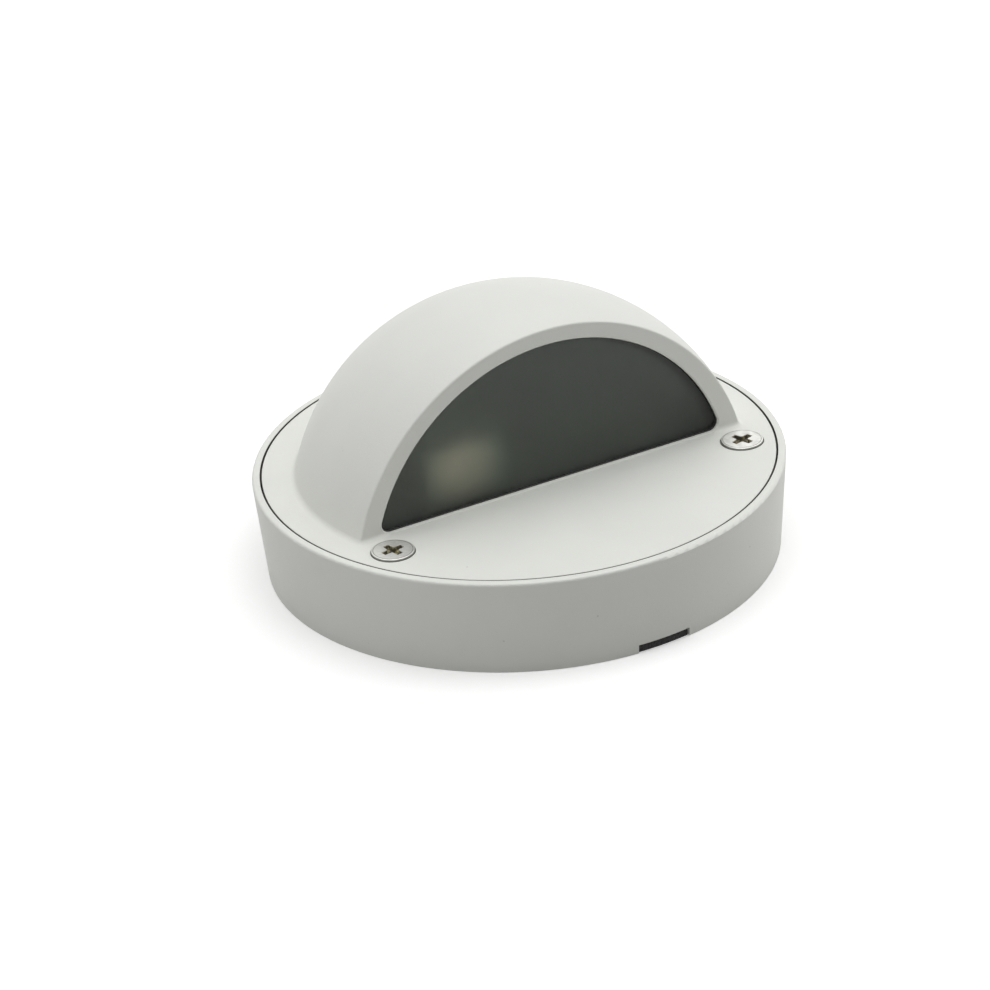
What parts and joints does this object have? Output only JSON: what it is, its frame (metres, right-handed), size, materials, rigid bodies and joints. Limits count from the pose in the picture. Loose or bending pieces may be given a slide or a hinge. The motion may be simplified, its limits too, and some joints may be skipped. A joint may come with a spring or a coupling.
{
  "type": "step light",
  "caption": "Round surface-mounted step light with a cast cup, a domed hood cover over a half-moon frosted window, and a capsule lamp inside.",
  "frame": {"origin": "centre of the back face, where the light meets the wall", "axes": "+Z out of the wall, window facing -Y, +X to the right seen from the window side; at rest the light lies on its back"},
  "size_m": [0.1098, 0.1098, 0.0568],
  "materials": {
    "powder_coat": "fine powder coat, satin",
    "foam": "closed-cell foam, matt",
    "black_rubber": "matt",
    "frosted_glass": "frosted",
    "cover_screw_steel": "stainless, turned",
    "plated_steel": "zinc plated",
    "tray_enamel": "gloss white",
    "ceramic": "unglazed ceramic",
    "nickel": "nickel plated",
    "lamp_glass": "clear quartz",
    "tungsten": "drawn wire",
    "terminal_nylon": "natural nylon",
    "brass": "turned",
    "tinned_copper": "tinned",
    "brown_sleeve": "sleeved lead",
    "blue_sleeve": "sleeved lead",
    "green_yellow_sleeve": "sleeved lead"
  },
  "bodies": {
    "base": {"base_casing": "powder_coat", "wall_gasket": "foam", "cable_grommet": "black_rubber", "cover_gasket": "black_rubber", "reflector_tray": "tray_enamel", "tray_screws": "plated_steel", "holder_bracket": "plated_steel", "bracket_rivets": "plated_steel", "lampholder": "ceramic", "lamp_contacts": "nickel", "holder_screws": "plated_steel", "terminal_block": "terminal_nylon", "terminal_barrels": "brass", "terminal_screws": "plated_steel", "terminal_fixing_screw": "plated_steel", "earth_lug": "tinned_copper", "earth_screw": "brass", "live_wire": "brown_sleeve", "neutral_wire": "blue_sleeve", "earth_wire": "green_yellow_sleeve"},
    "lamp": {"capsule_lamp": "lamp_glass", "lamp_pins": "nickel", "lamp_filament": "tungsten"},
    "cover": {"cover_hood": "powder_coat", "window_glass": "frosted_glass", "window_seal": "black_rubber", "glass_retainer": "plated_steel", "retainer_screws": "plated_steel"},
    "left_washer": {"left_screw_washer": "black_rubber"},
    "left_screw": {"left_cover_screw": "cover_screw_steel"},
    "right_washer": {"right_screw_washer": "black_rubber"},
    "right_screw": {"right_cover_screw": "cover_screw_steel"}
  },
  "joints": [
    {"name": "cover_lift", "type": "slide", "parent": "base", "child": "cover", "axis": [0, 0, 1], "range_m": [0, 0.04]},
    {"name": "lamp_pull", "type": "slide", "parent": "base", "child": "lamp", "axis": [1, 0, 0], "range_m": [0, 0.0085]},
    {"name": "left_screw_rise", "type": "slide", "parent": "cover", "child": "left_washer", "axis": [0, 0, 1], "range_m": [0, 0.0088]},
    {"name": "left_screw_turn", "type": "hinge", "parent": "left_washer", "child": "left_screw", "pos_m": [-0.04089, -0.02129, 0.0206], "axis": [0, 0, 1], "range_deg": [0, 3960]},
    {"name": "right_screw_rise", "type": "slide", "parent": "cover", "child": "right_washer", "axis": [0, 0, 1], "range_m": [0, 0.0088]},
    {"name": "right_screw_turn", "type": "hinge", "parent": "right_washer", "child": "right_screw", "pos_m": [0.04089, -0.02129, 0.0206], "axis": [0, 0, 1], "range_deg": [0, 3960]}
  ],
  "couplings": [
    {"joint": "left_screw_turn", "follows": "left_screw_rise", "rad_per_m": 7854},
    {"joint": "right_screw_turn", "follows": "right_screw_rise", "rad_per_m": 7854}
  ]
}
